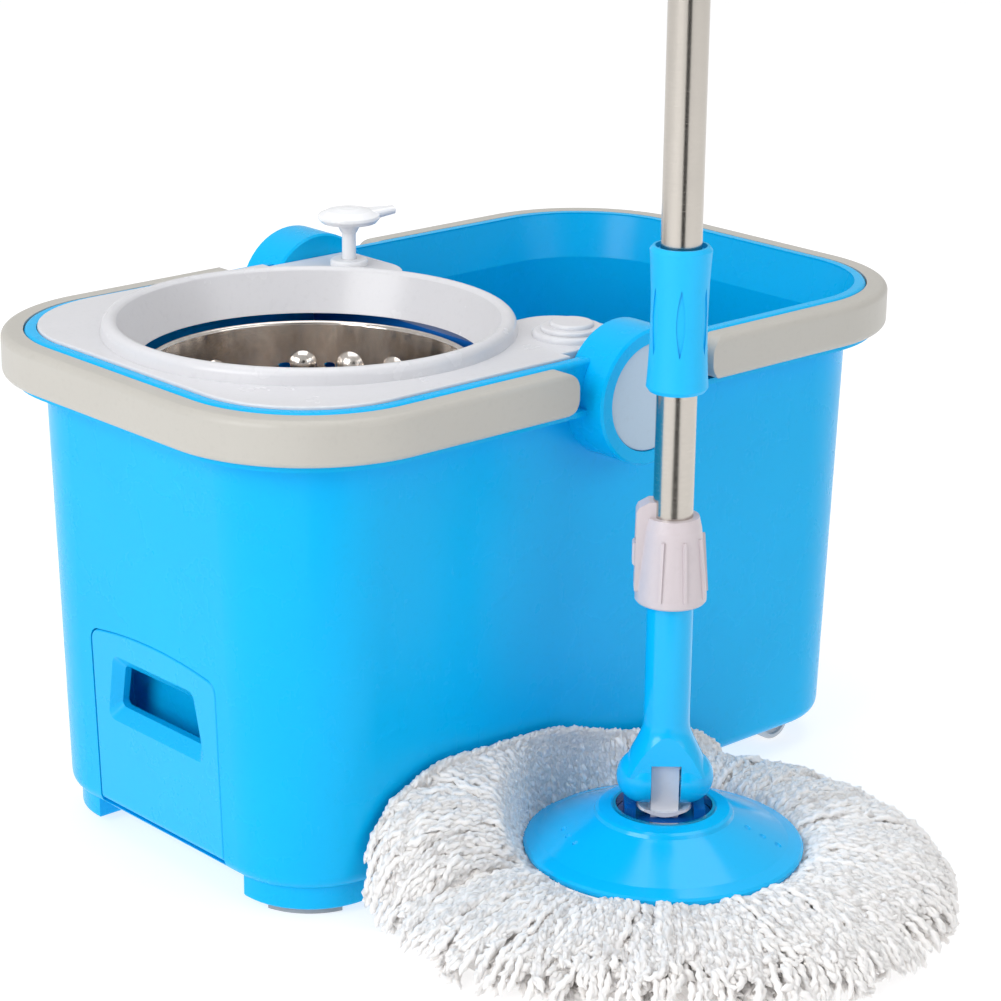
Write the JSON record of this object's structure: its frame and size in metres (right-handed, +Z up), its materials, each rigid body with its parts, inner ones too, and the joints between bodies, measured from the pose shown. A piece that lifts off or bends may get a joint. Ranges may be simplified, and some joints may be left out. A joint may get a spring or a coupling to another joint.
{
  "type": "spin mop",
  "caption": "Spin mop set: two-chamber plastic bucket with carry handles and steel wringing basket, and a press-to-spin steel mop with a round yarn head.",
  "frame": {"origin": "on the floor, under the middle of the whole set", "axes": "+Z up; X along the bucket, basket end at -X, wash end at +X; the mop stands on the -Y side"},
  "size_m": [0.474, 0.496, 0.99],
  "materials": {
    "tub_blue": "moulded gloss",
    "tow_blue": "moulded gloss",
    "handle_grey": "fine satin",
    "deck_white": "satin",
    "badge_grey": "satin",
    "pump_white": "gloss",
    "rubber_grey": "matt",
    "wheel_plastic": "matt",
    "steel_plain": "ground",
    "steel_polished": "polished sheet",
    "steel_tube": "brushed tube",
    "bearing_chrome": "polished",
    "plate_blue": "moulded gloss",
    "hub_blue": "moulded gloss",
    "grip_blue": "soft touch",
    "collar_grey": "satin",
    "nylon_white": "satin",
    "reservoir_blue": "moulded",
    "yarn_white": "twisted microfibre"
  },
  "bodies": {
    "bucket": {"tub": "tub_blue", "badge_discs": "badge_grey", "handle_pins": "steel_plain", "foot_pads": "rubber_grey", "tow_handle_pin": "steel_plain", "wheel_axle": "steel_plain", "basket_post": "reservoir_blue", "post_screws": "steel_plain", "basket_spindle": "steel_plain", "thrust_washer": "steel_plain"},
    "carry_handle_left": {"carry_handle_left": "handle_grey"},
    "carry_handle_right": {"carry_handle_right": "handle_grey"},
    "tow_handle": {"tow_handle": "tow_blue"},
    "wheel_near": {"wheel_near": "wheel_plastic"},
    "wheel_far": {"wheel_far": "wheel_plastic"},
    "basket": {"spin_basket": "steel_polished", "basket_hub": "nylon_white"},
    "deck": {"splash_deck": "deck_white", "pump_collar": "pump_white", "pump_barrel": "nylon_white", "pump_dip_tube": "nylon_white", "pump_spring": "steel_plain", "soap_reservoir": "reservoir_blue"},
    "filler_cap": {"filler_cap": "deck_white"},
    "pump_plunger": {"pump_plunger": "pump_white"},
    "mop_disc": {"mop_plate": "plate_blue", "bearing_ring": "bearing_chrome", "yarn_ring": "nylon_white", "mop_yarn": "yarn_white"},
    "swivel_hub": {"swivel_hub": "hub_blue", "hub_screw": "steel_plain", "pivot_lug": "nylon_white", "pivot_pin": "steel_plain"},
    "fork": {"fork": "plate_blue", "clutch": "nylon_white", "inner_tube": "steel_tube"},
    "drive_spindle": {"drive_spindle": "steel_plain"},
    "pole": {"drive_nut": "nylon_white", "guide_bush": "nylon_white", "lock_collar": "collar_grey", "lower_tube": "steel_tube", "upper_tube": "steel_tube", "mid_grip": "grip_blue"},
    "lock_slider": {"lock_slider": "collar_grey"},
    "twist_lock": {"twist_lock": "grip_blue"},
    "top_pole": {"top_tube": "steel_tube", "top_grip": "grip_blue", "hanging_loop": "grip_blue"}
  },
  "joints": [
    {"name": "carry_handle_left_swing", "type": "hinge", "parent": "bucket", "child": "carry_handle_left", "pos_m": [-0.059, 0.1, 0.26075], "axis": [0, 1, 0], "range_deg": [0, 100]},
    {"name": "carry_handle_right_swing", "type": "hinge", "parent": "bucket", "child": "carry_handle_right", "pos_m": [0.059, 0.1, 0.26075], "axis": [0, -1, 0], "range_deg": [0, 100]},
    {"name": "tow_handle_swing", "type": "hinge", "parent": "bucket", "child": "tow_handle", "pos_m": [-0.20182, 0.1, 0.02466], "axis": [0, -1, 0], "range_deg": [0, 80]},
    {"name": "wheel_near_spin", "type": "hinge", "parent": "bucket", "child": "wheel_near", "pos_m": [0.165, 0.1, 0.012], "axis": [0, 1, 0], "continuous": true},
    {"name": "wheel_far_spin", "type": "hinge", "parent": "bucket", "child": "wheel_far", "pos_m": [0.165, 0.1, 0.012], "axis": [0, 1, 0], "continuous": true},
    {"name": "basket_spin", "type": "hinge", "parent": "bucket", "child": "basket", "pos_m": [-0.104, 0.1, 0.17], "axis": [0, 0, 1], "continuous": true},
    {"name": "deck_lift", "type": "slide", "parent": "bucket", "child": "deck", "axis": [0, 0, 1], "range_m": [0, 0.1]},
    {"name": "filler_cap_lift", "type": "slide", "parent": "deck", "child": "filler_cap", "axis": [0, 0, 1], "range_m": [0, 0.02]},
    {"name": "pump_press", "type": "slide", "parent": "deck", "child": "pump_plunger", "axis": [0, 0, 1], "range_m": [-0.013, 0], "stiffness_N_per_m": 120, "springref_m": 0.004, "deforming": ["pump_spring"]},
    {"name": "mop_push", "type": "slide", "parent": "bucket", "child": "mop_disc", "axis": [0, -1, 0], "range_m": [0, 0.35]},
    {"name": "hub_swivel", "type": "hinge", "parent": "mop_disc", "child": "swivel_hub", "pos_m": [-0.031, -0.095, 0.04], "axis": [0, 0, 1], "continuous": true},
    {"name": "fork_tilt", "type": "hinge", "parent": "swivel_hub", "child": "fork", "pos_m": [-0.031, -0.095, 0.0665], "axis": [-0.7373, 0.6756, 0], "range_deg": [-75, 10]},
    {"name": "press_stroke", "type": "slide", "parent": "fork", "child": "pole", "axis": [0, 0, 1], "range_m": [0, 0.2]},
    {"name": "spindle_turn", "type": "hinge", "parent": "fork", "child": "drive_spindle", "pos_m": [-0.031, -0.095, 0.12], "axis": [0, 0, 1], "range_deg": [-721, 1]},
    {"name": "lock_slide", "type": "slide", "parent": "pole", "child": "lock_slider", "axis": [0, 0, 1], "range_m": [0, 0.009]},
    {"name": "twist_lock_turn", "type": "hinge", "parent": "pole", "child": "twist_lock", "pos_m": [-0.031, -0.095, 0.8], "axis": [0, 0, 1], "range_deg": [0, 60]},
    {"name": "telescope", "type": "slide", "parent": "pole", "child": "top_pole", "axis": [0, 0, 1], "range_m": [0, 0.3]}
  ],
  "couplings": [
    {"joint": "spindle_turn", "follows": "press_stroke", "rad_per_m": -62.832}
  ]
}
